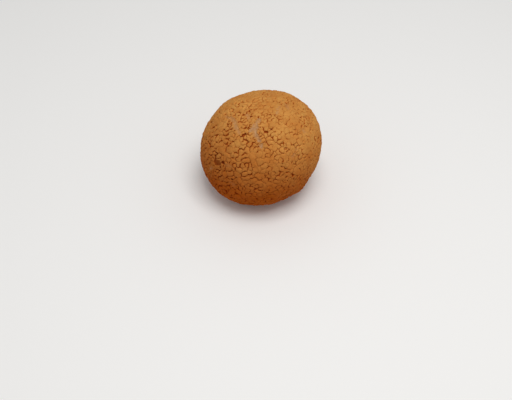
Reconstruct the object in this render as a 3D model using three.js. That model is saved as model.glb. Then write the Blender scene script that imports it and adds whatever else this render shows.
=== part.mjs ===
// A mochi bun: one small ball of bread baked from glutinous-rice and tapioca dough.
//
// The dough puffs up in the oven faster than its dry skin can stretch, so the skin breaks into a
// mosaic of small domed plates with cracks between them. Here and there the skin has parted
// altogether, which leaves a sunken streak of smooth dough, and a few steam holes have opened.
// The underside is the flat spot on which the ball sat on the baking tray.
//
// Millimetres, +Z up. The origin is on the tray, under the middle of the bun, and the side that
// is seen best faces -Y. Directions on the bun are given as [azimuth, elevation] in degrees, seen
// from the middle of its widest level: azimuth turns from +X towards +Y, elevation is above level.

import * as THREE from "three";
import { ConvexHull } from "three/addons/math/ConvexHull.js";

// ---------------------------------------------------------------- driving dimensions
const HALF_WIDTH = 28.4; // along X
const HALF_DEPTH = 27.1; // along Y
const WIDEST_LEVEL = 23.3; // height of the widest level above the tray
const CROWN_RISE = 26.7; // from the widest level up to the top
const BELLY_DROP = 26.4; // what the belly would drop below it, if the tray didn't cut it off
const CROWN_FULLNESS = 2.28; // 2 is an ellipse, more is squarer at the shoulder
const BELLY_FULLNESS = 2.18;
const BASE_ROUNDING = 1.5; // how far above and below the tray the base's edge is rounded
const OVALITY = 0.011; // share by which the plan is longer along OVAL_AZIMUTH
const OVAL_AZIMUTH = 34; // degrees
const LEAN = [0.09, -0.03]; // shift of the crown along X and Y for each millimetre of height

// Slow unevenness of the dough: [wavelength, height].
const SWELLS = [[31, 0.16], [13, 0.1]];
// Single lumps and dents: direction, height, and how many degrees they spread.
const LUMPS = [
  { at: [-39, -25], height: 0.6, spread: 6 }, // a lip where the skin stands proud, low on the right
  { at: [-61, -20], height: -0.6, spread: 12 }, // the flat beside it
  { at: [175, 35], height: -0.4, spread: 20 },
  { at: [80, 20], height: 0.5, spread: 24 },
  { at: [-150, -12], height: -0.35, spread: 35 },
  { at: [15, 30], height: 0.35, spread: 30 },
];

const CRACKED_SPACING = 2.35; // least distance between plates' middles where the skin is cracked
const SMOOTH_SPACING = 4.2; // and where it is whole
const PLATE_DOME = [0.14, 0.33]; // least and most rise of a plate's middle over its edge
const CRACK_DEPTH = 0.62; // where the skin is cracked most
const CRACK_HALF_WIDTH = [0.15, 0.28]; // of the faintest and the deepest cracks
const FAINTEST_CRACK = 0.06; // a crack that would be shallower than this is left out
const CLOSED_SHARE = 0.12; // share of the places where plates meet that have stayed closed
const OPEN_SHARE = 0.4; // share of them that are as open as the crack can be
const CRACKS_FADE = [2, 9]; // no cracks below the first height, none held back above the second

// Streaks where the skin has parted, as paths of directions.
const STREAK_DROP = 0.6;
const STREAKS = [
  { width: 2.3, path: [[-115, 73], [-112, 65], [-110, 60]] },
  { width: 1.6, path: [[-105, 57], [-99, 50], [-96, 46]] },
  { width: 1.8, path: [[-171, 55], [-160, 58], [-150, 57]] },
  { width: 1.7, path: [[-127, 23], [-124, 19]] },
  { width: 1.9, path: [[62, 52], [70, 46], [82, 41]] },
  { width: 1.8, path: [[148, 30], [139, 24]] },
];
// Holes where steam has burst the skin: `across` is the distance to the plates round them.
const HOLES = [
  { at: [-140, 18], across: 2.7, depth: 1.3 },
  { at: [-132.5, 22], across: 1.5, depth: 1.2 },
  { at: [-88, 61], across: 1.5, depth: 1.1 },
  { at: [-125.5, 53], across: 1.7, depth: 1.1 },
  { at: [-62, 42], across: 1.4, depth: 0.8 },
  { at: [24, 18], across: 1.8, depth: 1 },
  { at: [118, 33], across: 1.6, depth: 1.1 },
];
const PLATES_ROUND_HOLE = 5;
const EDGE_DROP_SHARE = 0.75; // how far the edge of a streak or hole is sunk, as a share of it
// Short gaping cracks between two directions.
const SPLIT_DEPTH = 1;
const SPLIT_REACH = [0.5, 2]; // full within the first distance of the line, gone at the second
const SPLITS = [
  [[-167, 63], [-160, 68]],
  [[-166, 73], [-176, 76]],
  [[-160, 27], [-156, 23]],
  [[-104, 66], [-94, 65]],
  [[-51, 73], [-38, 70]],
  [[-108, 16], [-100, 20]],
  [[-94, 3], [-87, 0]],
  [[-63, 18], [-57, 11]],
  [[100, 56], [88, 60]],
  [[52, 24], [58, 18]],
];

// The skin is cracked most on the front left, and hardly at all on the right shoulder.
const CRACKED_EVERYWHERE = 0.55;
const CRACKED_MORE = { at: [-135, 30], by: 0.45, spread: 55 };
const CRACKED_LESS = { at: [-5, 45], by: -0.3, spread: 45 };
const CRACKED_IN_PATCHES = { wavelength: 10, by: 0.25 };

// ---------------------------------------------------------------- small helpers
const { lerp, smoothstep, degToRad } = THREE.MathUtils;
const MEAN_RADIUS = (HALF_WIDTH + HALF_DEPTH + CROWN_RISE) / 3;
const GOLDEN_ANGLE = Math.PI * (3 - Math.sqrt(5));

// A fixed scatter of numbers from 0 to 1: what is left of a large sine after its whole part.
function scatter(index, salt) {
  const x = Math.sin(index * 12.9898 + salt * 78.233) * 43758.5453;
  return x - Math.floor(x);
}

function directionOf([azimuth, elevation]) {
  const down = degToRad(90 - elevation);
  const turn = degToRad(azimuth);
  const level = Math.sin(down);
  return new THREE.Vector3(level * Math.cos(turn), level * Math.sin(turn), Math.cos(down));
}

// The i-th of `count` directions that are spread evenly along a golden-angle spiral.
function spiralDirection(i, count) {
  const z = 1 - (2 * i + 1) / count;
  const level = Math.sqrt(1 - z * z);
  const turn = i * GOLDEN_ANGLE;
  return new THREE.Vector3(level * Math.cos(turn), level * Math.sin(turn), z);
}

// A bell of height `by` over the direction `at`.
function bell(direction, { at, by, spread }) {
  const away = direction.angleTo(directionOf(at)) / degToRad(spread);
  return by * Math.exp(-away * away);
}

// Waves along a few evenly spread directions, added up: a smooth field of about -1 to 1.
const WAVES = 6;
function ripple(p, wavelength, salt) {
  let sum = 0;
  for (let j = 0; j < WAVES; j++) {
    const along = spiralDirection(j, WAVES).dot(p) / wavelength;
    sum += Math.sin(2 * Math.PI * (along + scatter(j, salt)));
  }
  return sum / Math.sqrt(WAVES / 2);
}

// ---------------------------------------------------------------- the ball's form
// The radius along a direction is a superellipse's, with one fullness for the crown and one for
// the belly, on a slightly oval plan. The crown leans, and the tray cuts the belly off flat.
function formPoint(direction, lift = 0) {
  const azimuth = Math.atan2(direction.y, direction.x);
  const oval = 1 + OVALITY * Math.cos(2 * (azimuth - degToRad(OVAL_AZIMUTH)));
  const crown = direction.z > 0;
  const fullness = crown ? CROWN_FULLNESS : BELLY_FULLNESS;
  const level = Math.hypot(direction.x / HALF_WIDTH, direction.y / HALF_DEPTH) / oval;
  const upright = Math.abs(direction.z) / (crown ? CROWN_RISE : BELLY_DROP);
  const radius = (level ** fullness + upright ** fullness) ** (-1 / fullness);

  const p = direction.clone().multiplyScalar(radius);
  let height = lift;
  SWELLS.forEach(([wavelength, by], k) => (height += by * ripple(p, wavelength, k + 1)));
  LUMPS.forEach((lump) => (height += bell(direction, { ...lump, by: lump.height })));
  p.addScaledVector(direction, height);
  p.x += LEAN[0] * p.z;
  p.y += LEAN[1] * p.z;
  p.z = onTray(p.z + WIDEST_LEVEL);
  return p;
}

// The height above the tray: 0 for what would reach below it, with a parabola as the rounding.
function onTray(z) {
  if (z <= -BASE_ROUNDING) return 0;
  if (z >= BASE_ROUNDING) return z;
  return (z + BASE_ROUNDING) ** 2 / (4 * BASE_ROUNDING);
}

// ---------------------------------------------------------------- how cracked the skin is
// From 0 for whole skin to 1.
function crackedness(direction) {
  const p = formPoint(direction);
  const zones = bell(direction, CRACKED_MORE) + bell(direction, CRACKED_LESS);
  const patches = CRACKED_IN_PATCHES.by * ripple(p, CRACKED_IN_PATCHES.wavelength, 3);
  const cracked = THREE.MathUtils.clamp(CRACKED_EVERYWHERE + zones + patches, 0, 1);
  return cracked * smoothstep(p.z, ...CRACKS_FADE);
}

// How deep a split is at a direction: full along its line and fading to either side.
function splitDepth(direction) {
  const away = SPLITS.map((ends) => {
    const line = new THREE.Line3(...ends.map(directionOf));
    const nearest = line.closestPointToPoint(direction, true, new THREE.Vector3());
    return nearest.distanceTo(direction) * MEAN_RADIUS;
  });
  return SPLIT_DEPTH * (1 - smoothstep(Math.min(...away), ...SPLIT_REACH));
}

// ---------------------------------------------------------------- where the plates lie
// Every plate grows round a seed, and a crack runs midway between neighbouring seeds. A seed is a
// unit direction, with how far its cell is sunk: nothing for a plate, more for a streak or a hole.
function tooClose(at, seeds, distance) {
  const least = Math.cos(distance / MEAN_RADIUS);
  return seeds.some((seed) => seed.at.dot(at) > least);
}

// A streak is a chain of sunken cells along its path, with a plate on both sides of every other.
function streakSeeds({ width, path }) {
  const seeds = [];
  for (let k = 1; k < path.length; k++) {
    const [from, to] = [directionOf(path[k - 1]), directionOf(path[k])];
    const steps = Math.max(1, Math.round((from.angleTo(to) * MEAN_RADIUS) / width));
    const across = new THREE.Vector3().crossVectors(from, to).setLength(width / MEAN_RADIUS);
    for (let s = k === 1 ? 0 : 1; s <= steps; s++) {
      const at = from.clone().lerp(to, s / steps).normalize();
      seeds.push({ at, drop: STREAK_DROP });
      if (s % 2 === 1) continue;
      seeds.push({ at: at.clone().add(across).normalize(), drop: 0 });
      seeds.push({ at: at.clone().sub(across).normalize(), drop: 0 });
    }
  }
  return seeds;
}

// A hole is one deep cell in an uneven ring of plates.
function holeSeeds({ at, across, depth }, index) {
  const middle = directionOf(at);
  const seeds = [{ at: middle, drop: depth }];
  for (let k = 0; k < PLATES_ROUND_HOLE; k++) {
    const turn = (2 * Math.PI * (k + 0.4 * scatter(index, k))) / PLATES_ROUND_HOLE;
    const step = new THREE.Vector3(0, 0, 1).cross(middle).setLength(across / MEAN_RADIUS);
    step.applyAxisAngle(middle, turn);
    seeds.push({ at: middle.clone().add(step).normalize(), drop: 0 });
  }
  return seeds;
}

// A split runs between two pairs of plates.
function splitSeeds(ends) {
  const [from, to] = ends.map(directionOf);
  const across = new THREE.Vector3().crossVectors(from, to);
  across.setLength(CRACKED_SPACING / 2 / MEAN_RADIUS);
  const places = [from, to].flatMap((end) => [end.clone().add(across), end.clone().sub(across)]);
  return places.map((place) => ({ at: place.normalize(), drop: 0 }));
}

// Each seed is nudged off its place a little, so that no four of them lie on one circle.
const NUDGE = 0.12;
function nudged(seed, index) {
  const by = new THREE.Vector3(scatter(index, 8), scatter(index, 9), scatter(index, 10));
  by.multiplyScalar(2).subScalar(1);
  return { ...seed, at: seed.at.clone().addScaledVector(by, NUDGE / MEAN_RADIUS).normalize() };
}

// The streaks, holes and splits come first. Then directions on a fine spiral, taken in a scattered
// order, each become a seed where they are far enough from those there are.
const CANDIDATES = 9000;
function allSeeds() {
  const sunken = [...HOLES.flatMap(holeSeeds), ...STREAKS.flatMap(streakSeeds)];
  const special = [...sunken, ...SPLITS.flatMap(splitSeeds)].map(nudged);
  const seeds = special.filter((seed) => seed.drop > 0);
  for (const seed of special) {
    if (seed.drop === 0 && !tooClose(seed.at, seeds, CRACKED_SPACING / 2)) seeds.push(seed);
  }
  const order = Array.from({ length: CANDIDATES }, (_, i) => i);
  order.sort((i, j) => scatter(i, 1) - scatter(j, 1));
  for (const i of order) {
    const at = spiralDirection(i, CANDIDATES);
    const spacing = lerp(SMOOTH_SPACING, CRACKED_SPACING, Math.min(1, 2 * crackedness(at)));
    if (!tooClose(at, seeds, spacing)) seeds.push({ at, drop: 0 });
  }
  return seeds;
}

// ---------------------------------------------------------------- how the plates meet
// The convex hull of the seeds joins neighbours in triangles. The outward normal of such a
// triangle is the corner where three cells meet. The corners round a seed are its cell's outline.
function cornersAndOutlines(seeds) {
  const points = seeds.map((seed, index) => Object.assign(seed.at.clone(), { index }));
  const { faces } = new ConvexHull().setFromPoints(points);
  const corners = faces.map((face) => ({ at: face.normal.clone(), drops: [] }));
  const number = new Map(faces.map((face, k) => [face, k]));
  const nextCorner = seeds.map(() => new Map()); // round each cell, anticlockwise
  faces.forEach((face, k) => {
    for (const edge of [face.edge, face.edge.next, face.edge.prev]) {
      const seed = edge.tail().point.index;
      corners[k].drops.push(seeds[seed].drop);
      nextCorner[seed].set(number.get(edge.twin.face), k);
    }
  });
  const outlines = nextCorner.map((next) => {
    const outline = [next.keys().next().value];
    while (outline.length < next.size) outline.push(next.get(outline.at(-1)));
    return outline.map((k) => corners[k]);
  });
  return { corners, outlines };
}

// How deep the skin is broken at a corner, and how far the plates' edges have drawn back from it.
// Inside a streak or hole there are no plates, so no crack either.
function openCorner(corner, index) {
  const cracked = crackedness(corner.at);
  const open = smoothstep(scatter(index, 4), CLOSED_SHARE, 1 - OPEN_SHARE);
  const plates = corner.drops.filter((drop) => drop === 0).length;
  const crack = plates >= 2 ? Math.max(open * cracked * CRACK_DEPTH, splitDepth(corner.at)) : 0;
  const depth = Math.max(crack, EDGE_DROP_SHARE * Math.max(...corner.drops));
  corner.depth = depth < FAINTEST_CRACK ? 0 : depth;
  corner.drawnBack = depth < FAINTEST_CRACK ? 0 : lerp(...CRACK_HALF_WIDTH, cracked);
}

// ---------------------------------------------------------------- the surface
// A cell is a fan of triangles round its middle, out to its rim. From the rim the two walls of a
// crack slope down to the corners, which neighbouring cells share. Where a corner is closed, rim
// and corner are one vertex. A sunken cell has no rim of its own.
const MOST_DRAWN_BACK = 0.45; // of the way to the cell's middle

function skinSurface() {
  const seeds = allSeeds();
  const { corners, outlines } = cornersAndOutlines(seeds);
  corners.forEach(openCorner);

  const positions = [];
  const indices = [];
  const vertex = (p) => positions.push(p.x, p.y, p.z) / 3 - 1;
  for (const corner of corners) corner.vertex = vertex(formPoint(corner.at, -corner.depth));

  seeds.forEach((seed, index) => {
    const outline = outlines[index];
    const middle = new THREE.Vector3();
    outline.forEach((corner) => middle.add(corner.at));
    middle.normalize();

    const faded = smoothstep(formPoint(middle).z, ...CRACKS_FADE);
    const dome = faded * lerp(...PLATE_DOME, scatter(index, 7));
    const centre = vertex(formPoint(middle, seed.drop > 0 ? -seed.drop : dome));
    const rim = outline.map((corner) => {
      if (seed.drop > 0 || corner.depth === 0) return corner.vertex;
      const share = corner.drawnBack / (corner.at.angleTo(middle) * MEAN_RADIUS);
      const edge = corner.at.clone().lerp(middle, Math.min(share, MOST_DRAWN_BACK));
      return vertex(formPoint(edge.normalize()));
    });

    outline.forEach((corner, k) => {
      const m = (k + 1) % outline.length;
      indices.push(centre, rim[k], rim[m]);
      if (rim[k] !== corner.vertex) indices.push(rim[k], corner.vertex, rim[m]);
      if (rim[m] !== outline[m].vertex) indices.push(rim[m], corner.vertex, outline[m].vertex);
    });
  });
  return { positions, indices };
}

// ---------------------------------------------------------------- the bun
// The mesh is centred over the origin.
function bunGeometry() {
  const { positions, indices } = skinSurface();
  const geometry = new THREE.BufferGeometry();
  geometry.setAttribute("position", new THREE.Float32BufferAttribute(positions, 3));
  geometry.setIndex(indices);
  geometry.computeBoundingBox();
  const middle = geometry.boundingBox.getCenter(new THREE.Vector3());
  geometry.translate(-middle.x, -middle.y, 0);
  geometry.computeVertexNormals();
  return geometry;
}

const bakedSkin = new THREE.MeshStandardMaterial({ color: 0xbf8447, roughness: 0.85, metalness: 0 });

const bun = new THREE.Mesh(bunGeometry(), bakedSkin);
bun.name = "bun";

const group = new THREE.Group();
group.add(bun);
export default group;
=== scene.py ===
# A mochi bun: a small ball of glutinous-rice and tapioca bread with a dry, finely cracked crust.
# The frame is in metres, with +Z up and the bun's best side towards -Y. Shapes are worked out
# here in millimetres, and become metres where a mesh, a light or the camera is made.

import math

import bpy
import numpy as np
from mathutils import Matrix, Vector
from mathutils.geometry import delaunay_2d_cdt


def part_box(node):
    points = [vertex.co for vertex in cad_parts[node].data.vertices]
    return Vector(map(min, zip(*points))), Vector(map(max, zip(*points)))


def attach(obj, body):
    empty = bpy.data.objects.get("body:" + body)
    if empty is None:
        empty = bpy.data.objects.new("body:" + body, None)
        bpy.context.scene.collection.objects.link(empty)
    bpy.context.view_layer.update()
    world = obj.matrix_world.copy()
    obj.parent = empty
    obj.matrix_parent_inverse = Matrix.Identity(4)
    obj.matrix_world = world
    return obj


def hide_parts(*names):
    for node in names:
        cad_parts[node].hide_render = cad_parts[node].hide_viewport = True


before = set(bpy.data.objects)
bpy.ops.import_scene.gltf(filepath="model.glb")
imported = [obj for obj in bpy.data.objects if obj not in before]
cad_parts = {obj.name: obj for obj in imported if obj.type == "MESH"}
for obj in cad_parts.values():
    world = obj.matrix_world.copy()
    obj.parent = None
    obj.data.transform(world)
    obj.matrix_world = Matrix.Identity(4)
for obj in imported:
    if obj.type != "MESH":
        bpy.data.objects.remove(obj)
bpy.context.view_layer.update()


# ---- The ball of dough ---------------------------------------------------------------------
# About 35 g of glutinous-rice and tapioca dough, rolled by hand and baked on a tray. It puffs
# up fuller at the shoulder than a true ball, leans a little, and keeps a flat spot underneath.

MM = 0.001
HALF_SIZE = (28.4, 27.1)  # along X and Y
WIDEST_LEVEL = 23.3  # height of the widest level above the tray
CROWN_RISE = 26.7  # from the widest level up to the top
BELLY_DROP = 26.4  # what the belly would drop below it, if the tray didn't cut it off
CROWN_FULLNESS = 2.28  # 2 is an ellipse, more is squarer at the shoulder
BELLY_FULLNESS = 2.18
BASE_ROUNDING = 1.5  # how far above and below the tray the base's edge is rounded
OVALITY = 0.011  # share by which the plan is longer along OVAL_AZIMUTH
OVAL_AZIMUTH = math.radians(34)
LEAN = (0.09, -0.03)  # shift along X and Y for each millimetre above the widest level
SWELLS = ((31, 0.16), (13, 0.10))  # slow unevenness: wavelength, height
LUMPS = (  # azimuth and elevation, height, and how many degrees it spreads
    ((-39, -25), 0.6, 6),
    ((-61, -20), -0.6, 12),
    ((175, 35), -0.4, 20),
    ((80, 20), 0.5, 24),
    ((-150, -12), -0.35, 35),
    ((15, 30), 0.35, 30),
)
MEAN_RADIUS = (HALF_SIZE[0] + HALF_SIZE[1] + CROWN_RISE) / 3
GOLDEN_ANGLE = math.pi * (3 - math.sqrt(5))


def scatter(index, salt):
    """Fixed numbers from 0 to 1: a large sine less its whole part, other ones for each salt."""
    x = np.sin(np.asarray(index) * 12.9898 + salt * 78.233) * 43758.5453
    return x - np.floor(x)


def smoothstep(low, high, x):
    """0 up to low, 1 from high on, and the cubic 3t^2 - 2t^3 between them."""
    t = np.clip((x - low) / (high - low), 0, 1)
    return t * t * (3 - 2 * t)


def unit(v):
    """Each row divided by its length."""
    return v / np.linalg.norm(v, axis=-1, keepdims=True)


def spiral(count):
    """Directions spread evenly over a sphere: level heights, each a golden angle further round."""
    index = np.arange(count)
    z = 1 - (2 * index + 1) / count
    level = np.sqrt(1 - z * z)
    turn = index * GOLDEN_ANGLE
    return np.stack([level * np.cos(turn), level * np.sin(turn), z], axis=-1)


def direction(azimuth, elevation):
    """The unit vector at an azimuth from +X towards +Y and an elevation above level, in degrees."""
    a, e = math.radians(azimuth), math.radians(elevation)
    return np.array([math.cos(e) * math.cos(a), math.cos(e) * math.sin(a), math.sin(e)])


def ripple(points, wavelength, salt, waves=6):
    """Plane sine waves along evenly spread directions, added up: a smooth field of about -1 to 1."""
    along = points @ spiral(waves).T / wavelength
    phase = scatter(np.arange(waves), salt)
    return np.sin(2 * np.pi * (along + phase)).sum(axis=1) / math.sqrt(waves / 2)


def bell(directions, at, spread):
    """exp(-(angle / spread)^2), the angle measured from the direction `at`."""
    away = np.arccos(np.clip(directions @ direction(*at), -1, 1))
    return np.exp(-((away / math.radians(spread)) ** 2))


def dough(directions, lift):
    """Points of the ball, `lift` above its even surface.

    The radius is (level^n + upright^n)^(-1/n), where level and upright are the direction's
    sideways and vertical parts over the half sizes, and n is the fullness. Swells and lumps are
    added along the direction, the height shears the point sideways, and the tray flattens what
    would reach below it, with a parabola as the rounding.
    """
    azimuth = np.arctan2(directions[:, 1], directions[:, 0])
    oval = 1 + OVALITY * np.cos(2 * (azimuth - OVAL_AZIMUTH))
    crown = directions[:, 2] > 0
    n = np.where(crown, CROWN_FULLNESS, BELLY_FULLNESS)
    level = np.hypot(directions[:, 0] / HALF_SIZE[0], directions[:, 1] / HALF_SIZE[1]) / oval
    upright = np.abs(directions[:, 2]) / np.where(crown, CROWN_RISE, BELLY_DROP)
    p = directions * ((level**n + upright**n) ** (-1 / n))[:, None]

    height = lift + sum(by * ripple(p, w, k + 1) for k, (w, by) in enumerate(SWELLS))
    height = height + sum(by * bell(directions, at, spread) for at, by, spread in LUMPS)
    p = p + directions * height[:, None]
    p[:, :2] += p[:, 2:] * LEAN
    z = p[:, 2] + WIDEST_LEVEL
    rounded = (z + BASE_ROUNDING) ** 2 / (4 * BASE_ROUNDING)
    p[:, 2] = np.where(z >= BASE_ROUNDING, z, np.where(z <= -BASE_ROUNDING, 0, rounded))
    return p


# ---- The plates of the skin, and its gaps --------------------------------------------------
# The oven dries the skin while the dough still rises, so it breaks into plates 2 to 4 mm across.
# In places it parts altogether, which leaves a sunken streak of bare, paler dough, and steam
# bursts holes and slits in it.

PLATES = 2550  # even places to start from, of which some are left out
PLATE_SPACING = 0.95  # the least distance between the sites of two plates
PLATE_JITTER = 0.42  # how far a plate is off its even place, as a share of the spacing
DRIFT = (7.5, 0.55)  # how plates crowd and spread out: wavelength, distance
FEWER_PLATES = (  # where plates are fewer and larger: direction, spread in degrees, share left out
    ((-115, -5), 55, 0.30),
    ((-155, 45), 36, 0.35),
    ((0, -90), 48, 0.75),
)

# Paths are of azimuth and elevation, and a half width for each point.
PARTINGS = (  # how bare the dough lies, and a path
    (1.00, (
        (-114.2, 74.3, 0.35), (-113.5, 72.6, 0.90), (-114.8, 68.0, 1.20), (-113.8, 64.2, 1.25),
        (-115.9, 61.7, 0.80), (-120.8, 59.3, 0.40), (-115.9, 61.7, 0.80),
        (-110.7, 60.3, 0.95), (-106.1, 57.4, 0.75), (-101.5, 55.0, 0.55), (-98.8, 52.3, 0.55),
        (-95.9, 48.7, 0.70), (-94.4, 47.1, 0.35),
    )),
    (0.50, ((-157.5, 70.9, 0.50), (-150.0, 70.5, 0.60), (-142.0, 69.2, 0.45))),
    (0.70, (
        (-177.4, 51.6, 0.35), (-170.6, 54.9, 0.65), (-163.4, 57.0, 0.80), (-155.5, 57.4, 0.95),
        (-147.4, 56.0, 0.90), (-141.0, 54.9, 0.55),
    )),
    (0.50, ((-136.3, 54.0, 0.50), (-131.8, 52.4, 0.40))),
    (0.15, ((-129.5, 20.6, 0.45), (-127.0, 21.6, 0.75), (-123.8, 22.2, 0.60))),
    (0.35, ((-148.2, 2.8, 0.55), (-145.5, 7.0, 0.70))),
    (0.18, ((-121.0, 4.0, 0.50), (-117.0, 2.0, 0.65))),
    (0.45, ((-49.7, 36.8, 0.35), (-54.0, 33.9, 0.50), (-57.1, 32.3, 0.35))),
    (0.45, ((-28.1, 49.0, 0.45), (-26.0, 45.5, 0.55))),
    (0.50, ((10.0, 76.0, 0.45), (-7.0, 78.0, 0.60), (-33.0, 77.0, 0.45))),
    (0.40, ((21.0, 69.0, 0.55), (5.0, 68.0, 0.60))),
    (0.80, ((62.0, 52.0, 0.45), (70.0, 46.0, 0.80), (82.0, 41.0, 0.45))),
    (0.75, ((148.0, 30.0, 0.45), (139.0, 24.0, 0.80))),
)
PARTING_DROP = (0.12, 0.18)  # below the skin, and how much more where the dough is bare
HOLES = (  # depth, how dark its painted shade inside is, and a path
    (0.90, 0.65, (
        (-144.9, 22.6, 0.45), (-143.6, 19.6, 0.70), (-142.0, 16.8, 1.35), (-138.6, 18.2, 1.45),
    )),
    (0.90, 1.0, ((-133.6, 21.6, 0.70), (-132.8, 22.0, 0.70))),
    (0.90, 1.0, ((-89.7, 61.7, 0.68), (-86.9, 61.7, 0.64))),
    (0.80, 1.0, ((-77.8, 63.7, 0.38), (-77.2, 63.7, 0.38))),
    (0.85, 1.0, ((-128.5, 51.3, 0.32), (-125.9, 53.5, 0.68), (-123.6, 55.1, 0.42))),
    (0.50, 0.5, ((-63.2, 42.4, 0.50), (-61.9, 42.4, 0.50))),
    (0.70, 1.0, ((-143.8, 72.4, 0.38), (-143.0, 72.4, 0.38))),
    (0.70, 1.0, ((-119.8, 8.1, 0.36), (-119.3, 8.1, 0.36))),
    (0.70, 1.0, ((-83.3, -3.2, 0.36), (-82.9, -3.2, 0.36))),
    (0.80, 1.0, ((23.5, 17.6, 0.55), (24.5, 18.4, 0.55))),
    (0.90, 1.0, ((117.0, 33.4, 0.55), (119.0, 32.6, 0.50))),
)
HOLE_EDGE = 0.3  # share of its depth that a hole has at its edge
CIRCLES = 12  # drawn for each piece of a path, to find the gap's outline
CIRCLE_POINTS = 48
OUTLINE_SLACK = 0.04  # how far inside another circle a point may be, and still be on the outline
GAP_SPACING = 1.05  # between the cells that a gap is made of
RING_SPACING = 1.30  # between the plates round a gap
RING_NARROW = 2.6  # how many times a gap's least half width that spacing is at most
RING_CLEARANCE = 0.18  # from a gap's outline to the site of a plate round it, at least
PLATE_CLEARANCE = 0.70  # and to the site of any other plate

SLITS = (  # a path of directions, with how open the crack is at each
    ((-168.0, 63.2, 1.1), (-158.9, 69.1, 1.1)),
    ((-148.1, 72.3, 1.1), (-137.5, 73.5, 1.0)),
    ((-122.5, 74.4, 1.1), (-120.4, 76.5, 1.0)),
    ((-151.8, 60.7, 1.1), (-147.1, 63.7, 1.0)),
    ((-131.0, 60.5, 1.1), (-123.7, 61.9, 1.1)),
    ((-102.7, 65.6, 0.9), (-96.2, 65.5, 1.0), (-91.2, 63.3, 1.0)),
    ((-164.3, 70.9, 1.1), (-173.2, 76.1, 1.0)),
    ((-173.1, 56.3, 1.1), (-169.6, 58.9, 1.0)),
    ((-135.9, 41.9, 1.0), (-134.4, 44.7, 1.1)),
    ((-141.7, 42.9, 1.0), (-138.3, 39.2, 1.0)),
    ((-119.7, 50.6, 1.0), (-114.8, 49.8, 1.0)),
    ((-107.3, 16.5, 1.0), (-100.7, 20.4, 1.0)),
    ((-63.8, 18.6, 1.1), (-57.3, 11.4, 1.1)),
    ((-94.7, 2.5, 1.1), (-88.6, 1.0, 1.1)),
    ((-115.4, -4.3, 1.0), (-109.3, -2.6, 1.0)),
    ((-124.6, -3.2, 1.0), (-121.1, -1.8, 1.0)),
    ((-82.0, 57.4, 0.9), (-78.1, 55.7, 1.0), (-75.9, 53.2, 0.9)),
    ((-88.2, 51.8, 0.8), (-83.2, 48.5, 0.8)),
    ((-70.9, 48.8, 0.8), (-65.1, 47.0, 0.8)),
    ((-49.9, 73.1, 0.9), (-47.4, 70.8, 1.0), (-39.2, 70.2, 0.9)),
    ((39.2, 76.8, 0.8), (34.9, 73.1, 0.8)),
    ((-44.0, 53.1, 0.7), (-41.4, 50.3, 0.8), (-36.9, 48.7, 0.7)),
    ((-18.1, 47.7, 0.8), (-16.6, 45.1, 0.8)),
    ((156.6, 58.2, 1.0), (155.4, 61.5, 1.0)),
    ((-148.8, 41.8, 1.0), (-147.1, 45.7, 1.1)),
    ((-161.5, 33.1, 1.0), (-159.4, 37.8, 1.1)),
    ((-175.9, 33.5, 0.9), (-173.5, 37.0, 0.9)),
    ((-163.6, 27.0, 1.2), (-157.0, 24.2, 1.2)),
    ((-171.1, 20.6, 1.0), (-166.4, 18.8, 1.0)),
    ((-161.3, 50.8, 1.0), (-159.1, 55.2, 1.0)),
    ((-150.4, 48.9, 1.0), (-148.3, 52.2, 1.0)),
    ((-147.8, 35.0, 1.0), (-148.0, 38.5, 1.0)),
    ((100.0, 56.0, 1.0), (90.0, 59.0, 1.0)),
    ((53.0, 23.0, 1.0), (57.0, 19.0, 1.0)),
)
SLIT_SPACING = 2.1  # between the pairs of plates along a slit
SLIT_ASIDE = 1.0  # from a slit to the site of the plate beside it
SLIT_STAGGER = 0.12  # how far each plate is shifted along the slit, as a share of the spacing
NEAR_SPACING = 0.85  # the least distance between two sites round gaps and beside slits


def wander(directions, wavelength, distance, salt):
    """Directions moved sideways by smooth fields, so that what was even comes out uneven."""
    points = directions * MEAN_RADIUS
    fields = [ripple(points, wavelength, salt + axis, 14) for axis in range(3)]
    return unit(points + distance * np.stack(fields, axis=-1))


def jittered(count, jitter, salt):
    """Evenly spread directions, each pushed off its place by up to `jitter` of their spacing."""
    push = 2 * scatter(np.arange(3 * count), salt).reshape(-1, 3) - 1
    return unit(spiral(count) + push * jitter * math.sqrt(4 * math.pi / count))


def path_of(points):
    """A path as rows of a unit vector and the value that the point has after its two angles."""
    return np.array([[*direction(azimuth, elevation), value] for azimuth, elevation, value in points])


def nearest_on(path, directions):
    """The row of a path, between its points too, that is nearest to each direction."""
    nearest = np.tile(path[0], (len(directions), 1))
    for start, end in zip(path[:-1], path[1:]):
        along = end - start
        t = np.clip((directions - start[:3]) @ along[:3] / (along[:3] @ along[:3]), 0, 1)
        row = start + t[:, None] * along
        nearer = (directions * row[:, :3]).sum(axis=1) > (directions * nearest[:, :3]).sum(axis=1)
        nearest[nearer] = row[nearer]
    return nearest


def distance_to(path, directions):
    """The distance in millimetres from each direction to a path, and the path's value there."""
    nearest = nearest_on(path, directions)
    return np.linalg.norm(directions - unit(nearest[:, :3]), axis=1) * MEAN_RADIUS, nearest[:, 3]


def clear_of(paths, directions, clearance):
    """Those of the directions that are further than a clearance outside of every outline."""
    for path in paths:
        away, half_width = distance_to(path, directions)
        directions = directions[away > half_width + clearance]
    return directions


def spread_out(directions, spacing):
    """Some of the directions, taken one by one: always the furthest from those taken already."""
    taken = [len(directions) // 2]
    away = np.linalg.norm(directions - directions[taken[0]], axis=1)
    while away.max() * MEAN_RADIUS > spacing:
        taken.append(away.argmax())
        away = np.minimum(away, np.linalg.norm(directions - directions[taken[-1]], axis=1))
    return directions[taken]


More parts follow.
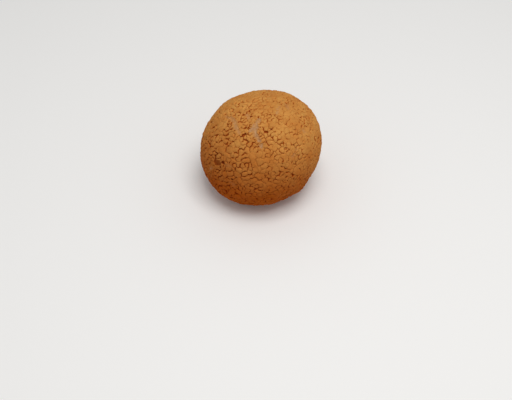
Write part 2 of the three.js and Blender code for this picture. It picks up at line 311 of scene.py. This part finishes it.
def gap_and_ring(path):
    """The cells inside a gap, and sites for the plates round it.

    The outline is what isn't covered of many circles along the path. Each cell is mirrored in
    the outline, so that the border between the cell and its mirror image falls on the outline.
    """
    t = np.linspace(0, 1, CIRCLES)[:, None]
    rows = np.vstack([start + (end - start) * t for start, end in zip(path[:-1], path[1:])])
    middles = unit(rows[:, :3])
    inside = spread_out(middles, GAP_SPACING)
    east = unit(np.cross([0, 0, 1], middles))
    north = np.cross(middles, east)
    turn = np.linspace(0, 2 * np.pi, CIRCLE_POINTS, endpoint=False)[:, None, None]
    out = (east * np.cos(turn) + north * np.sin(turn)) * rows[:, 3:] / MEAN_RADIUS
    outline = clear_of([path], unit(middles + out).reshape(-1, 3), -OUTLINE_SLACK)
    outwards = unit(outline - unit(nearest_on(path, outline)[:, :3]))
    own = inside[(outline @ inside.T).argmax(axis=1)]
    across = ((outline - own) * outwards).sum(axis=1, keepdims=True)
    spacing = min(RING_SPACING, RING_NARROW * path[:, 3].min())
    return inside, spread_out(unit(own + 2 * across * outwards), spacing)


def beside(path):
    """Pairs of directions, one on each side of a slit and staggered a little along it."""
    pairs = []
    for start, end in zip(path[:-1, :3], path[1:, :3]):
        pieces = max(1, round(np.linalg.norm(end - start) * MEAN_RADIUS / SLIT_SPACING))
        middles = start + (end - start) * ((np.arange(pieces) + 0.5) / pieces)[:, None]
        along = unit(end - start)
        off = np.cross(middles, along) * SLIT_ASIDE + along * SLIT_STAGGER * SLIT_SPACING
        pairs += [middles + off / MEAN_RADIUS, middles - off / MEAN_RADIUS]
    return unit(np.vstack(pairs))


def thinned(directions, spacing, kept=0):
    """The directions after the first `kept` that have no earlier one closer than the spacing."""
    close = np.tril(directions @ directions.T > 1 - (spacing / MEAN_RADIUS) ** 2 / 2, -1)
    return directions[kept:][~close[kept:].any(axis=1)]


def neighbours_in_threes(points):
    """Triples of points of a sphere that are neighbours, anticlockwise seen from outside.

    The points, of which the last is the lowest, are projected from there onto a plane. As
    circles stay circles, the plane's Delaunay triangles are the sphere's too. Those with the
    last point are the ones that join it to the plane's outer edges.
    """
    flat = points[:-1, :2] / (1 + points[:-1, 2:])
    whole_hull, tolerance, with_origins = 0, 1e-9, True
    flat = [Vector(point) for point in flat.tolist()]
    _, _, faces, origins, _, _ = delaunay_2d_cdt(flat, [], [], whole_hull, tolerance, with_origins)
    same = np.array([own[0] for own in origins])
    triangles = same[np.array(faces)]
    ends = np.stack([triangles, np.roll(triangles, -1, axis=1)], axis=-1).reshape(-1, 2)
    keys = ends @ (len(points), 1)
    outer = ends[~np.isin(keys, ends @ (1, len(points)))]
    lowest = np.full(len(outer), len(points) - 1)
    triangles = np.vstack([triangles, np.column_stack([outer[:, ::-1], lowest])])
    a, b, c = (points[triangles[:, k]] for k in range(3))
    inwards = ((np.cross(b - a, c - a)) * a).sum(axis=1) < 0
    triangles[inwards] = triangles[inwards][:, ::-1]
    return triangles


def eased(points, movable, own, other):
    """Points of which the movable ones go halfway to the mean of their neighbours.

    Each point's neighbours are the points numbered in `other` where its number is in `own`.
    """
    total = np.zeros_like(points)
    np.add.at(total, own, points[other])
    return np.where(movable[:, None], unit(points + unit(total)), points)


# A gap's number is its place in these lists.
gap_paths = [path_of(gap[-1]) for gap in (*PARTINGS, *HOLES)]
drops = [PARTING_DROP[0] + PARTING_DROP[1] * bare for bare, path in PARTINGS]
gap_floor = np.array(drops + [depth for depth, dark, path in HOLES])
gap_edge = np.array(drops + [HOLE_EDGE * depth for depth, dark, path in HOLES])
gap_bare = np.array([bare for bare, path in PARTINGS] + [0 for hole in HOLES])
gap_shade = np.array([0 for parting in PARTINGS] + [dark for depth, dark, path in HOLES])
slit_paths = [path_of(path) for path in SLITS]

gap_cells, rings = zip(*(gap_and_ring(path) for path in gap_paths))
near = np.vstack([*rings, *map(beside, slit_paths)])
near = thinned(clear_of(gap_paths, near, RING_CLEARANCE), NEAR_SPACING)
plates = wander(jittered(PLATES, PLATE_JITTER, 1), *DRIFT, 70)
left_out = sum(share * bell(plates, at, spread) for at, spread, share in FEWER_PLATES)
plates = clear_of(gap_paths, plates[scatter(np.arange(PLATES), 4) > left_out], PLATE_CLEARANCE)
bottom = [[0, 0, -1]]
plates = thinned(np.vstack([near, bottom, plates]), PLATE_SPACING, len(near) + 1)

# All cells, each with the number of its gap, or -1 for a plate. The plates round a place that
# was left without one close in on it.
cells = np.vstack([*gap_cells, near, plates, bottom])
counts = [*map(len, gap_cells), len(near) + len(plates) + 1]
gap_of = np.repeat([*range(len(gap_cells)), -1], counts)
movable = np.repeat([False, True, False], [len(cells) - len(plates) - 1, len(plates), 1])
threes = neighbours_in_threes(cells)
cells = eased(cells, movable, threes, np.roll(threes, -1, axis=1))


# ---- The cracked crust ---------------------------------------------------------------------
# The crust as it comes out of the oven: each plate is a little dome with rounded shoulders,
# tilted its own way, and between the plates are cracks that gape, close up and branch. Its
# attributes tell the finish where the cracks, the holes and the bare dough are, where cracks and
# holes get painted shade, and where the rims of open cracks get a painted highlight.

# The borders between plates.
PARTS = 3  # straight pieces of a border between two corners
STRAY = (2.6, 0.10)  # how borders wander: wavelength, distance
BULGE = 0.32  # the most a border bulges out, as a share of its length
CURL = 0.24  # and the most it curls to both sides
RAGGED = (2.1, 0.20)  # how the half width of a gap varies: wavelength, share
ROUNDINGS = 10  # times that borders are eased: all of them once, and then those beside slivers
SLIVER = 0.02  # the area from a plate's middle to a piece of its border, below which it is one

# How cracked the skin is, from 0 to 1.
CRACKS_FADE = (1, 6)  # heights: no cracks below the first, none held back above the second
CRACKED_EVERYWHERE = 0.92
CRACKED_MORE = ((-120, -20), 55, 0.24)  # direction, spread in degrees, and by how much
CRACKED_LESS = ((-50, 55), 50, 0.24)
CRACKED_IN_PATCHES = (10, 0.12)  # wavelength, and by how much

# How open a crack is: 0 is closed, and 1 is wide open.
OPEN_IN_WHOLE_SKIN = -0.14
OPEN_IN_CRACKED_SKIN = 0.04  # how much more than in whole skin
OPEN_BY_CHANCE = 1.45  # how much more at most
PAIRS_APART = 1009  # a prime, so that hardly any two pairs of cells get the same number
OPEN_ALONG_PULL = -0.35  # how much more if the skin was pulled apart along the crack
OPEN_ACROSS_PULL = 0.90  # and how much more than that if it was pulled across it
OPEN_IN_TURNS = (2.0, 0.20)  # along its length: wavelength, and by how much
OPEN_AT_MOST = 1.2
OPEN_FADE = 0.2  # how cracked the skin has to be for its cracks not to be held back
SLIT_GAPE = 1.3  # how many times as open a slit is as its path says
SLIT_REACH = (0.35, 0.75)  # distances to which a slit is fully open, and from which it isn't
GAP_EDGE_OPENING = 0.6  # plates end at a gap as they do at a crack this open
PORES = (0.04, 0.14)  # share of the corners with a pore in cracked and in whole skin
PORE_OPENING = 1.1
PULL = unit(np.array([0.45, -0.66, -0.60]))  # the way the skin on the left was pulled apart
PULLED = ((-155, 40), 55)  # where: direction, spread in degrees

# The shape of a crack and of a plate.
CRACK_DEPTH = 0.33
CRACK_HALF_WIDTH = (0.05, 0.20)  # of the faintest and of an open crack
CRACK_TAPER = 1.5  # power of the opening: the higher, the narrower is a half-open crack
RIM_AT_MOST = 0.30  # share of the way from the border to the middle
SHOULDER_IN = 0.27  # distance of the shoulder from the rim
SHOULDER_WITHIN = (0.25, 0.65)  # shares of the way from the border to the middle
DOME = 0.38  # rise of a plate's middle over its edge at an open crack
CLOSED_DOME = 0.10  # share of that rise where the crack is closed
SUNK = (1, 0.75, 0.26, 0)  # share of it that border, rim, shoulder and middle lie below the top
RAISED = DOME / 3  # of a plate's middle over the even ball, as its edge lies below it
PUFFED = 0.75  # how much higher the domes are where the skin was pulled apart
TILT = 0.13  # millimetres of rise for each millimetre across a plate
PLATE_STEP = 0.16  # the most that a plate's own level is higher or lower
ROUGH = 0.09  # the most that any point is

# How far a finish reaches: to border, rim, shoulder and middle.
RIM_SHADE = 0.2  # of the cracks' painted shade and brown, on the rims of an open crack
EDGE_SHADE = 0.5  # and at the edge of the darkest hole
# how far the painted highlight on the rims of open cracks reaches
HIGHLIGHT_LIP_REACH = (0, 1, 0.35, 0)
TONE_REACH = (0, 0.5, 0.9, 1)
PIT_SHADE = (0.7, 1.1, 0.9, 0.8)
CLINGING = (0, 0.8, 0.4, 0)  # share of the bare dough on the plates round it


def onto_outlines(directions, numbers):
    """Directions moved to the outline of the gap with the number given, or left where it is -1."""
    moved = directions.copy()
    wavelength, varies = RAGGED
    for k, path in enumerate(gap_paths):
        here = directions[numbers == k]
        nearest = nearest_on(path, here)
        middles = unit(nearest[:, :3])
        out = nearest[:, 3] * (1 + varies * ripple(here * MEAN_RADIUS, wavelength, 40 + k, 10))
        moved[numbers == k] = unit(middles + unit(here - middles) * out[:, None] / MEAN_RADIUS)
    return moved


def crackedness(directions):
    """From 0 where the skin is whole to 1: a level, two bells and a ripple, faded at the tray."""
    *more, more_by = CRACKED_MORE
    *less, less_by = CRACKED_LESS
    wavelength, patches_by = CRACKED_IN_PATCHES
    cracked = CRACKED_EVERYWHERE + patches_by * ripple(directions * MEAN_RADIUS, wavelength, 3)
    cracked = cracked + more_by * bell(directions, *more) - less_by * bell(directions, *less)
    height = dough(directions, np.zeros(len(directions)))[:, 2]
    return np.clip(cracked, 0, 1) * smoothstep(*CRACKS_FADE, height)


def chance_between(first, second):
    """How much more open than others the crack between two cells is, by chance and by the pull.

    The chance is a fixed number for each pair. The pull opens a crack by the square of the
    cosine between the pull and the way from cell to cell, which runs across the crack.
    """
    low, high = np.minimum(first, second), np.maximum(first, second)
    chance = OPEN_BY_CHANCE * scatter(low * PAIRS_APART + high, 5)
    across = unit(cells[high] - cells[low])
    pulled = bell(unit(cells[low] + cells[high]), *PULLED)
    return chance + pulled * (OPEN_ALONG_PULL + OPEN_ACROSS_PULL * (across @ PULL) ** 2)


def openings(directions, chances):
    """How open a crack is: a level and a ripple, plus how cracked it is times a rise and a chance.

    It is held back where the skin is nearly whole, and slits stand open whatever the chance.
    """
    cracked = crackedness(directions)
    wavelength, in_turns = OPEN_IN_TURNS
    level = OPEN_IN_WHOLE_SKIN + in_turns * ripple(directions * MEAN_RADIUS, wavelength, 80, 12)
    opening = np.clip(level + cracked * (OPEN_IN_CRACKED_SKIN + chances), 0, OPEN_AT_MOST)
    opening = opening * smoothstep(0, OPEN_FADE, cracked)
    for path in slit_paths:
        away, opened = distance_to(path, directions)
        opening = np.maximum(opening, SLIT_GAPE * opened * (1 - smoothstep(*SLIT_REACH, away)))
    return opening


def crust():
    """Vertices, faces and attributes of the crust.

    Neighbouring cells are joined in triangles, and a triangle's outward normal is the corner
    where three cells meet. Each of its edges runs from one cell, its tail, to the next, and stands
    for the tail's share of the border between them. That share is split into PARTS pieces, and
    from each piece the surface climbs to a rim, then to a shoulder, and then to the cell's middle.
    """
    triangles = neighbours_in_threes(cells)
    tail = triangles.ravel()
    head = np.roll(triangles, -1, axis=1).ravel()
    edge = np.arange(len(tail))
    keys = tail * len(cells) + head
    by_key = np.argsort(keys)
    twin = by_key[np.searchsorted(keys[by_key], head * len(cells) + tail)]
    after = twin[3 * (edge // 3) + (edge + 2) % 3]  # the same cell's next edge, anticlockwise
    main = edge[edge < twin]
    number = np.empty(len(edge), dtype=np.int64)
    number[main] = np.arange(len(main))
    number[twin[main]] = number[main]

    # The borders: all corners, then the points between two of them. They bulge out and wander,
    # and those between a gap and a plate lie on the gap's outline.
    a, b, c = (cells[triangles[:, k]] for k in range(3))
    even = unit(np.cross(b - a, c - a))
    around_corner = gap_of[triangles]
    beside_main = np.stack([gap_of[tail[main]], gap_of[head[main]]], axis=-1).repeat(PARTS - 1, axis=0)
    lowest = np.concatenate([around_corner.min(axis=1), beside_main.min(axis=1)])
    highest = np.concatenate([around_corner.max(axis=1), beside_main.max(axis=1)])
    on_edge = lowest != highest
    outline = np.where(on_edge, highest, -1)
    strayed = wander(even, *STRAY, 73)
    corners = onto_outlines(strayed, outline[:len(even)])
    shift = corners - strayed
    t = (np.arange(1, PARTS) / PARTS)[:, None]
    start, end = twin[main] // 3, main // 3
    bulge = BULGE * (2 * scatter(number[main], 6) - 1)[:, None, None] * np.sin(np.pi * t)
    bulge = bulge + CURL * (2 * scatter(number[main], 7) - 1)[:, None, None] * np.sin(2 * np.pi * t)
    line = even[start][:, None] * (1 - t) + even[end][:, None] * t
    line = line + np.cross(even[start], even[end])[:, None] * bulge
    line = wander(unit(line.reshape(-1, 3)), *STRAY, 73).reshape(line.shape)
    line = line + shift[start][:, None] * (1 - t) + shift[end][:, None] * t
    line = onto_outlines(unit(line.reshape(-1, 3)), outline[len(even):])

    # For each edge, the border's points from one corner to the next.
    step = np.arange(1, PARTS)
    step = np.where((edge < twin)[:, None], step - 1, PARTS - 1 - step)
    between = len(even) + number[:, None] * (PARTS - 1) + step
    at_border = np.column_stack([twin // 3, between, edge // 3])
    cell = tail.repeat(PARTS)
    beside_it = at_border[:, :PARTS].ravel()

    # Easing the borders rounds the plates. It goes on for borders that still fold a plate over,
    # or leave a sliver of it.
    borders = np.vstack([corners, line])
    movable = ~on_edge
    for _ in range(ROUNDINGS):
        borders = eased(borders, movable, at_border[:, :-1], at_border[:, 1:])
        middles = np.zeros_like(cells)
        np.add.at(middles, cell, borders[beside_it])
        middles = unit(middles)
        own = middles[tail][:, None]
        turns = np.cross(borders[at_border[:, :-1]] - own, borders[at_border[:, 1:]] - own)
        areas = (turns * own).sum(axis=-1) * MEAN_RADIUS**2 / 2
        movable = np.zeros(len(borders), dtype=bool)
        movable[at_border[areas.min(axis=1) < SLIVER]] = True

    # At a corner, the cracks get as open as the second most open one: a third one tapers there.
    chance = chance_between(tail, head)
    chances = np.sort(chance.reshape(-1, 3), axis=1)[:, 1]
    chances = np.concatenate([chances, chance[main].repeat(PARTS - 1)])
    opening = openings(borders, chances)
    pore_share = PORES[1] + (PORES[0] - PORES[1]) * crackedness(corners)
    pores = np.flatnonzero(scatter(np.arange(len(corners)), 13) < pore_share)
    opening[pores] = PORE_OPENING
    opening = np.where(highest < 0, opening, np.where(on_edge, GAP_EDGE_OPENING, 0))

    # Beside each edge's border, its rim and shoulder.
    at_ring = np.column_stack([edge[:, None] * PARTS + np.arange(PARTS), after * PARTS])
    opened = opening[beside_it]
    inwards = middles[cell] - borders[beside_it]
    reach = np.linalg.norm(inwards, axis=1) * MEAN_RADIUS
    faintest, widest = CRACK_HALF_WIDTH
    half_width = faintest + (widest - faintest) * opened**CRACK_TAPER
    share = np.minimum(half_width / reach, RIM_AT_MOST)
    rims = unit(borders[beside_it] + inwards * share[:, None])
    share = np.clip((half_width + SHOULDER_IN) / reach, *SHOULDER_WITHIN)
    shoulders = unit(borders[beside_it] + inwards * share[:, None])
    directions = np.vstack([borders, rims, shoulders, middles])
    sizes = [len(borders), len(rims), len(shoulders), len(middles)]

    def spread(*values):
        """One array out of values for the borders, rims, shoulders and middles."""
        return np.concatenate([np.broadcast_to(value, size) for value, size in zip(values, sizes)])

    # Heights of the plates. The tilt and the level of a plate fade out where a crack is closed.
    index = np.arange(len(cells))
    whose = spread(0, cell, cell, index)
    slope = 2 * scatter(np.arange(3 * len(cells)), 11).reshape(-1, 3) - 1
    tilt = TILT * np.einsum("ij,ij->i", (directions - middles[whose]) * MEAN_RADIUS, slope[whose])
    stance = tilt + PLATE_STEP * (2 * scatter(whose, 9) - 1)
    free = np.minimum(1, opened)
    stance = stance * spread(0, free, (1 + free) / 2, 1)
    stance = stance + ROUGH * (2 * scatter(np.arange(len(directions)), 17) - 1)
    rise = CLOSED_DOME + (1 - CLOSED_DOME) * np.minimum(1, spread(opening, opened, opened, 0))
    sunk = DOME * rise * spread(*SUNK) * (1 + PUFFED * bell(directions, *PULLED))
    height = dough(directions, np.zeros(len(directions)))[:, 2]
    skin = (stance - sunk) * smoothstep(*CRACKS_FADE, height) + RAISED
    skin = skin - CRACK_DEPTH * spread(opening, 0, 0, 0)

    # Gaps: their floors and edges. Bare dough clings to the plates round it.
    gap_here = spread(highest, gap_of[cell], gap_of[cell], gap_of)
    at_edge = spread(on_edge, False, False, False)
    lift = np.where(gap_here < 0, skin, -np.where(at_edge, gap_edge[gap_here], gap_floor[gap_here]))
    edge_bare = np.where(on_edge, gap_bare[highest], 0)[beside_it]
    # Painted shade: how much darker and redder cracks, pores and hole edges are painted.
    crack = np.where(on_edge, EDGE_SHADE * gap_shade[highest], opening)
    # Painted highlight: the rims of open cracks are painted paler.
    highlight_lip = spread(0, opened, opened, 0) * spread(*HIGHLIGHT_LIP_REACH)
    clinging = spread(0, edge_bare, edge_bare, 0) * spread(*CLINGING)
    shown = {
        "crack": spread(crack, RIM_SHADE * opened**3, 0, 0),
        "highlight_lip": np.where(gap_here < 0, highlight_lip, 0),
        "tone": (2 * scatter(whose, 15) - 1) * spread(*TONE_REACH),
        "pit": np.where(gap_here < 0, 0, gap_shade[gap_here] * spread(*PIT_SHADE)),
        "bare": np.where(gap_here < 0, clinging, gap_bare[gap_here]),
    }

    rim = sizes[0] + at_ring
    shoulder = rim + sizes[1]
    middle = np.repeat(sum(sizes[:3]) + tail[:, None], PARTS, axis=1)
    walls = np.stack([at_border[:, :-1], at_border[:, 1:], rim[:, 1:], rim[:, :-1]], axis=-1)
    slopes = np.stack([rim[:, :-1], rim[:, 1:], shoulder[:, 1:], shoulder[:, :-1]], axis=-1)
    tops = np.stack([shoulder[:, :-1], shoulder[:, 1:], middle], axis=-1)
    quads = np.concatenate([walls.reshape(-1, 4), slopes.reshape(-1, 4)])
    return dough(directions, lift), quads, tops.reshape(-1, 3), shown


vertices, quads, tops, shown = crust()
low_corner, high_corner = (np.array(corner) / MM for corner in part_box("bun"))
own_middle = (vertices.max(axis=0) + vertices.min(axis=0)) / 2
to_frame = np.array([*((low_corner + high_corner) / 2 - own_middle)[:2], 0])
vertices = vertices + to_frame

mesh = bpy.data.meshes.new("mochi_bun")
mesh.vertices.add(len(vertices))
mesh.vertices.foreach_set("co", (vertices * MM).ravel())
mesh.loops.add(quads.size + tops.size)
mesh.loops.foreach_set("vertex_index", np.concatenate([quads.ravel(), tops.ravel()]))
mesh.polygons.add(len(quads) + len(tops))
starts = np.concatenate([4 * np.arange(len(quads)), quads.size + 3 * np.arange(len(tops))])
mesh.polygons.foreach_set("loop_start", starts)
mesh.update(calc_edges=True)
mesh.validate()
mesh.shade_smooth()
for name, values in shown.items():
    attribute = mesh.attributes.new(name, "FLOAT", "POINT")
    attribute.data.foreach_set("value", values.astype(np.float32))

bun = bpy.data.objects.new("mochi_bun", mesh)
bpy.context.scene.collection.objects.link(bun)


# ---- The finish of the crust ---------------------------------------------------------------
# Baked mochi crust: starch dried hard and matt in the oven, golden on top and browner low down
# and on the front left, partly from real browning and partly as painted shade. Cracks and holes
# are painted a deeper, redder brown, partly the dough's own and partly painted shade, and the
# dough stays pale where it's bare.
# To the eye it is dusty and warm, without any gloss, and speckled as fine sand is.

GOLDEN, TAN = "#CC8F48", "#BE7A38"
# The brown low down and on the front left: partly toasted crust, partly painted shade.
TOASTED_AND_SHADED = "#9C4A0A"
BARE_DARK, BARE_PALE = "#A2724A", "#BF9268"
CRACK_SHADE_TINT = "#C88B4B"  # what the colour is multiplied by in a crack: partly browner dough, partly painted shade and warm bounce light
PIT_SHADE_TINT = "#BF7C45"  # and inside a hole: painted shade, with a redder brown
PATCH_SIZE = 6  # between golden and tan
TOAST_AND_SHADE = unit(np.array([-0.17, -0.42, -0.89]))  # the way the crust gets browner and darker: partly browning, partly painted shade
TOAST_AND_SHADE_REACH = (-16, 17)  # from where to where along it, from the middle of the bun
TOAST_AND_SHADE_UNEVEN = (11, 12)  # size of a patch, and how far it shifts that
TONE_IN_PATCHES = 0.30  # how much of a plate's own tone is golden or tan
TONE_LIGHT = 0.045  # and how much is light or dark
# How much paler the rims of open cracks are painted, as a highlight.
LIP_HIGHLIGHT = 0.10
SPECK_SIZE = 0.6  # specks of starch are finer, and drawn this coarse to show
CLING_SIZE = 1.3
STREAK_SIZE = 1.0
GRIT_SIZE = 0.6  # drawn coarser than the starch's own grit too
GRIT_HEIGHT = 0.38
CRACK_SHADE_FROM = 0.60  # the opening from which a crack's painted shade and brown are as deep as they get


def linear(hex_colour):
    """An sRGB hex colour as linear RGBA."""
    parts = [int(hex_colour[i:i + 2], 16) / 255 for i in (1, 3, 5)]
    return (*(c / 12.92 if c <= 0.04045 else ((c + 0.055) / 1.055) ** 2.4 for c in parts), 1.0)


def node(tree, kind, settings, inputs):
    """Adds a node to a tree, with its settings, and a value or a link for each of its inputs."""
    new = tree.nodes.new(kind)
    for name, value in settings.items():
        setattr(new, name, value)
    for name, value in inputs.items():
        if isinstance(value, bpy.types.NodeSocket):
            tree.links.new(value, new.inputs[name])
        else:
            new.inputs[name].default_value = value
    return new


MIX = "ShaderNodeMix"
MATHS = "ShaderNodeMath"
VECTORS = "ShaderNodeVectorMath"
NOISE = "ShaderNodeTexNoise"
RANGE = "ShaderNodeMapRange"
BLEND = {"data_type": "RGBA", "blend_type": "MIX"}
TINT = {"data_type": "RGBA", "blend_type": "MULTIPLY"}
SMOOTH = {"interpolation_type": "SMOOTHSTEP"}
TIMES_PLUS = {"operation": "MULTIPLY_ADD"}

material = bpy.data.materials.new("baked mochi crust")
material.use_nodes = True
tree = material.node_tree
tree.nodes.clear()
place = node(tree, "ShaderNodeTexCoord", {}, {}).outputs["Object"]
crack, highlight_lip, tone, pit, bare = (
    node(tree, "ShaderNodeAttribute", {"attribute_name": name}, {}).outputs["Fac"]
    for name in ("crack", "highlight_lip", "tone", "pit", "bare")
)

# Golden and tan in patches, then browner and darker towards the bottom and the front left:
# partly the crust's own browning, partly painted shade.
patches = node(tree, NOISE, {}, {"Vector": place, "Scale": 1 / (PATCH_SIZE * MM), "Detail": 2.0})
patches = node(tree, RANGE, {}, {0: patches.outputs["Fac"], "From Min": 0.30, "From Max": 0.70})
patches = node(tree, MATHS, TIMES_PLUS, {0: tone, 1: TONE_IN_PATCHES, 2: patches.outputs[0]})
colour = node(tree, MIX, BLEND, {0: patches.outputs[0], 6: linear(GOLDEN), 7: linear(TAN)})
from_middle = node(tree, VECTORS, {"operation": "SUBTRACT"}, {0: place, 1: (0, 0, WIDEST_LEVEL * MM)})
toward = node(tree, VECTORS, {"operation": "DOT_PRODUCT"}, {0: from_middle.outputs[0], 1: tuple(TOAST_AND_SHADE)})
patch_size, shift = TOAST_AND_SHADE_UNEVEN
uneven = node(tree, NOISE, {}, {"Vector": place, "Scale": 1 / (patch_size * MM), "Detail": 3.0})
toward = node(tree, MATHS, TIMES_PLUS, {
    0: uneven.outputs["Fac"],
    1: shift * MM,
    2: toward.outputs["Value"],
})
toast_and_shade = node(tree, RANGE, {}, {
    "Value": toward.outputs[0],
    "From Min": (TOAST_AND_SHADE_REACH[0] + shift / 2) * MM,
    "From Max": (TOAST_AND_SHADE_REACH[1] + shift / 2) * MM,
})
colour = node(tree, MIX, BLEND, {0: toast_and_shade.outputs[0], 6: colour.outputs[2], 7: linear(TOASTED_AND_SHADED)})

# Each plate has its own tone, the rims of its open cracks are painted paler as a highlight,
# and fine specks cover it all.
specks = node(tree, NOISE, {}, {
    "Vector": place,
    "Scale": 1 / (SPECK_SIZE * MM),
    "Detail": 4.0,
    "Roughness": 0.7,
})
specks = node(tree, RANGE, {}, {
    "Value": specks.outputs["Fac"],
    "From Min": 0.3,
    "From Max": 0.7,
    "To Min": 0.84,
    "To Max": 1.16,
})
light = node(tree, MATHS, TIMES_PLUS, {0: tone, 1: TONE_LIGHT, 2: specks.outputs[0]})
light = node(tree, MATHS, TIMES_PLUS, {0: highlight_lip, 1: LIP_HIGHLIGHT, 2: light.outputs[0]})
colour = node(tree, VECTORS, {"operation": "SCALE"}, {0: colour.outputs[2], "Scale": light.outputs[0]})

# Bare dough is paler and greyer, and a little of the crust clings to it.
cling = node(tree, NOISE, {}, {
    "Vector": place,
    "Scale": 1 / (CLING_SIZE * MM),
    "Detail": 4.0,
    "Roughness": 0.6,
})
cling = node(tree, RANGE, SMOOTH, {
    "Value": cling.outputs["Fac"],
    "From Min": 0.35,
    "From Max": 0.6,
    "To Min": 0.45,
    "To Max": 1.0,
})
bared = node(tree, MATHS, {"operation": "MULTIPLY"}, {0: bare, 1: cling.outputs[0]})
streaks = node(tree, NOISE, {}, {
    "Vector": place,
    "Scale": 1 / (STREAK_SIZE * MM),
    "Detail": 3.0,
    "Roughness": 0.6,
})
streaks = node(tree, RANGE, {}, {0: streaks.outputs["Fac"], "From Min": 0.35, "From Max": 0.65})
inside = node(tree, MIX, BLEND, {0: streaks.outputs[0], 6: linear(BARE_DARK), 7: linear(BARE_PALE)})
colour = node(tree, MIX, BLEND, {0: bared.outputs[0], 6: colour.outputs[0], 7: inside.outputs[2]})

# Painted shade in cracks and holes: a deeper, redder brown, partly the dough's own colour
# and partly painted shade and warm bounce light.
deep = node(tree, RANGE, SMOOTH, {"Value": crack, "From Min": 0.0, "From Max": CRACK_SHADE_FROM})
colour = node(tree, MIX, TINT, {0: deep.outputs[0], 6: colour.outputs[2], 7: linear(CRACK_SHADE_TINT)})
colour = node(tree, MIX, TINT, {0: pit, 6: colour.outputs[2], 7: linear(PIT_SHADE_TINT)})

# Matt, with a fine sandy grain.
grit = node(tree, NOISE, {}, {
    "Vector": place,
    "Scale": 1 / (GRIT_SIZE * MM),
    "Detail": 4.0,
    "Roughness": 0.65,
})
bump = node(tree, "ShaderNodeBump", {}, {
    "Strength": 0.6,
    "Distance": GRIT_HEIGHT * MM,
    "Height": grit.outputs["Fac"],
})
surface = node(tree, "ShaderNodeBsdfPrincipled", {}, {
    "Base Color": colour.outputs[2],
    "Normal": bump.outputs[0],
    "Roughness": 0.88,
    "Specular IOR Level": 0.05,
})
node(tree, "ShaderNodeOutputMaterial", {}, {"Surface": surface.outputs[0]})
mesh.materials.append(material)

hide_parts("bun")
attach(bun, "root")


# ---- The tabletop --------------------------------------------------------------------------
# A plain pale tabletop of matt white laminate, on which the bun rests with its flat spot. It
# isn't part of the bun.

TABLE_HALF = 1600
square = TABLE_HALF * MM * np.array([(-1, -1, 0), (1, -1, 0), (1, 1, 0), (-1, 1, 0)])
table_mesh = bpy.data.meshes.new("tabletop")
table_mesh.from_pydata(square.tolist(), [], [(0, 1, 2, 3)])
table = bpy.data.objects.new("tabletop", table_mesh)
bpy.context.scene.collection.objects.link(table)
laminate = bpy.data.materials.new("matt white laminate")
laminate.use_nodes = True
laminate.node_tree.nodes.clear()
matt = node(laminate.node_tree, "ShaderNodeBsdfPrincipled", {}, {
    "Base Color": linear("#F2F1EF"),
    "Roughness": 0.9,
    "Specular IOR Level": 0.1,
})
node(laminate.node_tree, "ShaderNodeOutputMaterial", {}, {"Surface": matt.outputs[0]})
table_mesh.materials.append(laminate)


# ---- The light -----------------------------------------------------------------------------
# A white room all round, which fills the shadows, and a soft box high up, a little to the front
# and the right, which picks out the domes of the crust.

KEY_AT = (80, -145, 620)
KEY_SIZE = 320
KEY_WATTS = 2.12
ROOM_STRENGTH = 0.485

key_light = bpy.data.lights.new("soft_box", "AREA")
key_light.size = KEY_SIZE * MM
key_light.energy = KEY_WATTS
key = bpy.data.objects.new("soft_box", key_light)
key.location = Vector(KEY_AT) * MM
key.rotation_euler = (Vector((0, 0, WIDEST_LEVEL)) - Vector(KEY_AT)).to_track_quat("-Z", "Y").to_euler()
bpy.context.scene.collection.objects.link(key)
room = bpy.data.worlds.new("white_room")
room.use_nodes = True
room.node_tree.nodes["Background"].inputs["Color"].default_value = linear("#FFFFFF")
room.node_tree.nodes["Background"].inputs["Strength"].default_value = ROOM_STRENGTH
bpy.context.scene.world = room
bpy.context.scene.view_settings.view_transform = "Standard"


# ---- The camera ----------------------------------------------------------------------------
# It looks down at the front of the bun from 48 degrees above level, and has the bun a little
# above the middle of the picture.

PICTURE = (512, 400)
CAMERA_ELEVATION = math.radians(48)
CAMERA_DISTANCE = 430
FOCAL = 904 / PICTURE[0]  # in widths of the picture
AIM = (0, 0, 25)  # the point of the bun that lies at AIM_PIXEL
AIM_PIXEL = (260.3, 146.1)
SENSOR = 36

forward = np.array([0, math.cos(CAMERA_ELEVATION), -math.sin(CAMERA_ELEVATION)])
upward = np.array([0, math.sin(CAMERA_ELEVATION), math.cos(CAMERA_ELEVATION)])
rightward = np.array([1, 0, 0])
off_right = (AIM_PIXEL[0] - PICTURE[0] / 2) / PICTURE[0]
off_up = (PICTURE[1] / 2 - AIM_PIXEL[1]) / PICTURE[0]
ray = unit(forward * FOCAL + rightward * off_right + upward * off_up)
camera_data = bpy.data.cameras.new("camera")
camera_data.sensor_width = SENSOR
camera_data.lens = FOCAL * SENSOR
camera = bpy.data.objects.new("camera", camera_data)
camera.location = Vector(np.array(AIM) + to_frame - ray * CAMERA_DISTANCE) * MM
camera.rotation_euler = (math.pi / 2 - CAMERA_ELEVATION, 0, 0)
bpy.context.scene.collection.objects.link(camera)
bpy.context.scene.camera = camera
